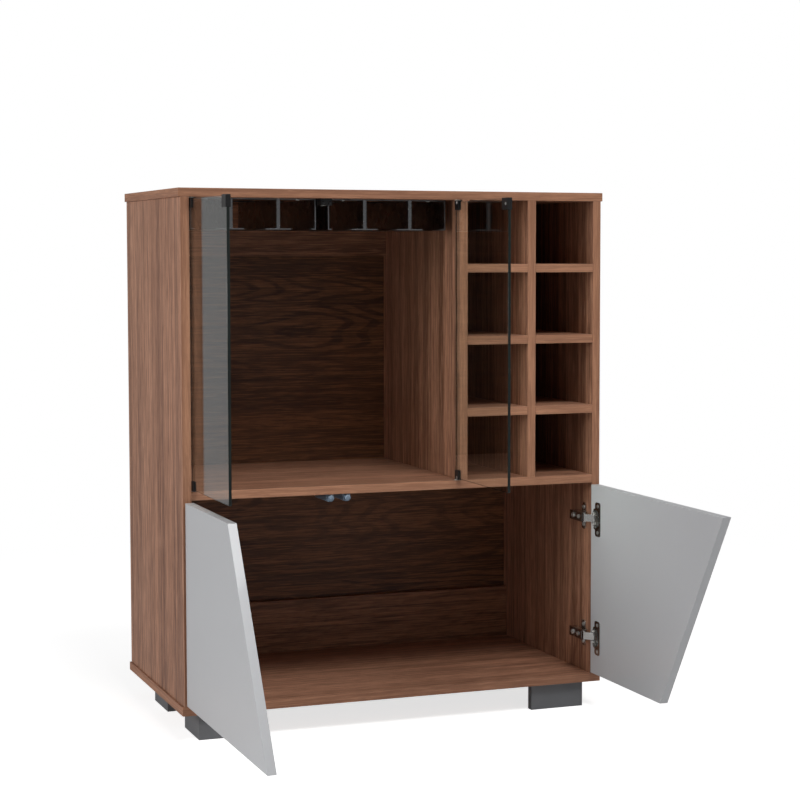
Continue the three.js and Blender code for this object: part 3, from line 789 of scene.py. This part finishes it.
def add_hinge_springs(side, height):
    """The closing spring of a hinge, wound on the cup's pin above and below the link."""
    cup = f"hinge_cup_{side}_{height}"
    pivot = next(
        joint for joint in frame["record"]["behaviour"]["joints"] if joint["name"] == f"door_{side}_pivot"
    )
    pin_x, pin_y = pivot["pos_m"][:2]
    link_low, link_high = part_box(f"hinge_link_{side}_{height}")
    over = link_high.z + SPRING_GAP
    under = link_low.z - SPRING_GAP - SPRING_TURNS * SPRING_PITCH
    add_fastenings(cup, "springs", [turned_to(spring(), (pin_x, pin_y, z), Z_AXIS) for z in (over, under)])


STRAP_WIDTH = 20 * MM
STRAP_REAR_INSET = 35 * MM
STRAP_SCREW_INSET = 30 * MM
STRAP_SCREW_RADIUS = 3.8 * MM
RACK_SHEET = 2 * MM


def add_rack_screws(side):
    """Screws that hold the straps of a rack up to the top panel."""
    rack = f"stemware_rack_{side}"
    low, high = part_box(rack)
    add_fastenings(rack, "screws", [
        turned_to(screw_head(STRAP_SCREW_RADIUS), (x, y, high.z - RACK_SHEET), -Z_AXIS)
        for x in (low.x + STRAP_SCREW_INSET, high.x - STRAP_SCREW_INSET)
        for y in (low.y + STRAP_WIDTH / 2, high.y - STRAP_REAR_INSET - STRAP_WIDTH / 2)
    ])


CLAMP_SCREW_INSET = 6.5 * MM
STRIKE_SCREW_INSET = 8 * MM
SET_SCREW_RADIUS = 2.6 * MM


def add_set_screw(node, sign, inset):
    """A set screw in a clamp or a strike clip, on the side that faces the inside when the door is shut."""
    low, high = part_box(node)
    place = (inboard_side(node, sign), low.y + inset, middle(low.z, high.z))
    head = screw_head(SET_SCREW_RADIUS, hex_socket, LOW_HEAD_SHARE)
    add_fastenings(node, "set_screw", [turned_to(head, place, -sign * X_AXIS)])


LATCH_SCREW_RADIUS = 2.8 * MM
# Shares of a latch's depth.
PUSH_LATCH_SCREWS = (0.25, 0.85)
TOUCH_LATCH_SCREWS = (0.3, 0.75)


def add_latch_screws(node, depth_shares):
    """Screws up through a latch into the board above it."""
    low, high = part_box(node)
    add_fastenings(node, "screws", [
        turned_to(
            screw_head(LATCH_SCREW_RADIUS, height_share=LOW_HEAD_SHARE),
            (middle(low.x, high.x), low.y + share * (high.y - low.y), low.z), -Z_AXIS,
        )
        for share in depth_shares
    ])


BACK_SCREW_INSET = 4 * MM
BACK_SCREW_PITCH = 105 * MM
BACK_SCREW_RADIUS = 2.2 * MM


def evenly(start, end, pitch):
    """Even places from start to end, no further apart than the pitch."""
    count = math.ceil((end - start) / pitch)
    return [start + (end - start) * step / count for step in range(count + 1)]


def add_back_screws():
    """Small screws round the edge of the back sheet, and along the middle shelf and the divider."""
    low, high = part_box("back_sheet")
    left, right = low.x + BACK_SCREW_INSET, high.x - BACK_SCREW_INSET
    under, over = low.z + BACK_SCREW_INSET, high.z - BACK_SCREW_INSET
    shelf_low, shelf_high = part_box("mid_shelf")
    shelf_level = middle(shelf_low.z, shelf_high.z)
    divider_low, divider_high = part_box("divider")
    divider_middle = middle(divider_low.x, divider_high.x)
    columns = evenly(left, right, BACK_SCREW_PITCH)
    levels = evenly(under, over, BACK_SCREW_PITCH)
    places = [(x, z) for x in columns for z in (under, over)]
    places += [(x, z) for x in (left, right) for z in levels[1:-1]]
    places += [(x, shelf_level) for x in columns[1:-1]]
    places += [(divider_middle, z) for z in levels[1:-1] if z > shelf_level + BACK_SCREW_PITCH / 2]
    add_fastenings("back_sheet", "screws", [
        turned_to(screw_head(BACK_SCREW_RADIUS, height_share=LOW_HEAD_SHARE), (x, high.y, z), Y_AXIS)
        for x, z in places
    ])


def add_all_fastenings():
    for side, sign in SIDES.items():
        for height in HEIGHTS:
            add_hinge_screws(side, sign, height)
            add_hinge_springs(side, height)
            add_set_screw(f"glass_clamp_{side}_{height}", sign, CLAMP_SCREW_INSET)
        add_set_screw(f"glass_strike_{side}", sign, STRIKE_SCREW_INSET)
        add_rack_screws(side)
        add_latch_screws(f"push_latch_body_{side}", PUSH_LATCH_SCREWS)
    add_latch_screws("touch_latch_body", TOUCH_LATCH_SCREWS)
    add_back_screws()


# Stage

FLOOR_REACH = 30
FLOOR_COLOR = (0.86, 0.86, 0.86, 1)
FLOOR_CLOUD_COLOR = (0.88, 0.88, 0.88, 1)
FLOOR_CLOUD_WAVES = 3.0
FLOOR_ROUGHNESS = 0.9
FLOOR_SPECULAR = 0.1
# The floor's own glow under the armoire, and the distances over which it turns into the background.
NEAR_FLOOR_LIGHT = 0.72
FLOOR_FADE_START = 0.6
FLOOR_FADE_END = 2.4
WORLD_LIGHT = 0.1
REFLECTED_LIGHT = 0.3
LAMP_HEIGHT = 0.5
# The place of each lamp from the middle of the armoire, its width and its power.
LAMPS = {
    "left lamp": (Vector((-3.6, -0.5, 1.1)), 2.0, 56),
    "front lamp": (Vector((0.2, -2.6, 3.8)), 1.6, 87),
    "right lamp": (Vector((3.4, -1.2, 2.2)), 2.0, 28),
}


def add_lamp(name, place, target, width, power):
    data = bpy.data.lights.new(name, "AREA")
    data.shape = "DISK"
    data.size = width
    data.energy = power
    lamp = new_object(name, data)
    lamp.matrix_world = Matrix.Translation(place) @ turn_towards(target - place, "-Z")


def add_lamps():
    target = carcass_front() + LAMP_HEIGHT * Z_AXIS
    for name, (offset, width, power) in LAMPS.items():
        add_lamp(name, target + offset, target, width, power)


def ray_kinds(nodes):
    """One for rays straight from the camera or through glass, and one for rays that a surface mirrors."""
    path = nodes.add("ShaderNodeLightPath").outputs
    mirrored = nodes.math("MULTIPLY", path["Is Glossy Ray"], nodes.math("MINIMUM", path["Glossy Depth"], 1.0))
    seen = nodes.math("MAXIMUM", path["Is Camera Ray"], path["Is Transmission Ray"])
    return nodes.math("MULTIPLY", seen, nodes.math("SUBTRACT", 1.0, mirrored)), mirrored


def background_light(nodes, direct, mirrored):
    """White where it is seen directly, and grey where it is mirrored."""
    return nodes.math("ADD", direct, nodes.math("MULTIPLY", mirrored, REFLECTED_LIGHT))


def emission(nodes, strength):
    glow = nodes.add("ShaderNodeEmission")
    nodes.feed(glow, Strength=strength)
    return glow.outputs["Emission"]


def pale_floor():
    """A floor that keeps the armoire's shadow, and farther off looks the same as the background."""
    material, nodes, shader, coordinates = new_material("pale floor")
    color = nodes.mix(nodes.noise(coordinates, FLOOR_CLOUD_WAVES), FLOOR_COLOR, FLOOR_CLOUD_COLOR)
    nodes.feed(shader, Base_Color=color, Roughness=FLOOR_ROUGHNESS, Specular_IOR_Level=FLOOR_SPECULAR)
    direct, mirrored = ray_kinds(nodes)
    near = nodes.add("ShaderNodeAddShader")
    nodes.connect(shader.outputs["BSDF"], near.inputs[0])
    nodes.connect(emission(nodes, nodes.math("MULTIPLY", direct, NEAR_FLOOR_LIGHT)), near.inputs[1])
    distance = nodes.add("ShaderNodeVectorMath", operation="LENGTH")
    nodes.connect(coordinates, distance.inputs[0])
    far = nodes.spread(distance.outputs["Value"], FLOOR_FADE_START, FLOOR_FADE_END)
    as_background = nodes.math("MULTIPLY", far, nodes.math("ADD", direct, mirrored))
    background = emission(nodes, background_light(nodes, direct, mirrored))
    surface = nodes.mix_shaders(as_background, near.outputs["Shader"], background)
    nodes.feed(material.node_tree.nodes["Material Output"], Surface=surface)
    return material


def add_floor():
    shape = bmesh.new()
    bmesh.ops.create_grid(shape, x_segments=1, y_segments=1, size=FLOOR_REACH)
    floor = new_object("floor", new_mesh("floor", shape))
    floor.data.materials.append(pale_floor())


def add_world():
    """White behind the armoire, grey in reflections and dim as a lamp."""
    world = bpy.data.worlds.new("studio")
    bpy.context.scene.world = world
    world.use_nodes = True
    nodes = Nodes(world.node_tree)
    strength = nodes.math("MAXIMUM", background_light(nodes, *ray_kinds(nodes)), WORLD_LIGHT)
    nodes.feed(world.node_tree.nodes["Background"], Color=(1, 1, 1, 1), Strength=strength)


bpy.context.scene.view_settings.view_transform = "Standard"
add_camera()
add_world()
add_floor()
add_lamps()
dress_boards()
dress_feet()
dress_lower_doors()
dress_glass_doors()
dress_latches()
dress_hinges()
dress_racks()
add_all_fastenings()
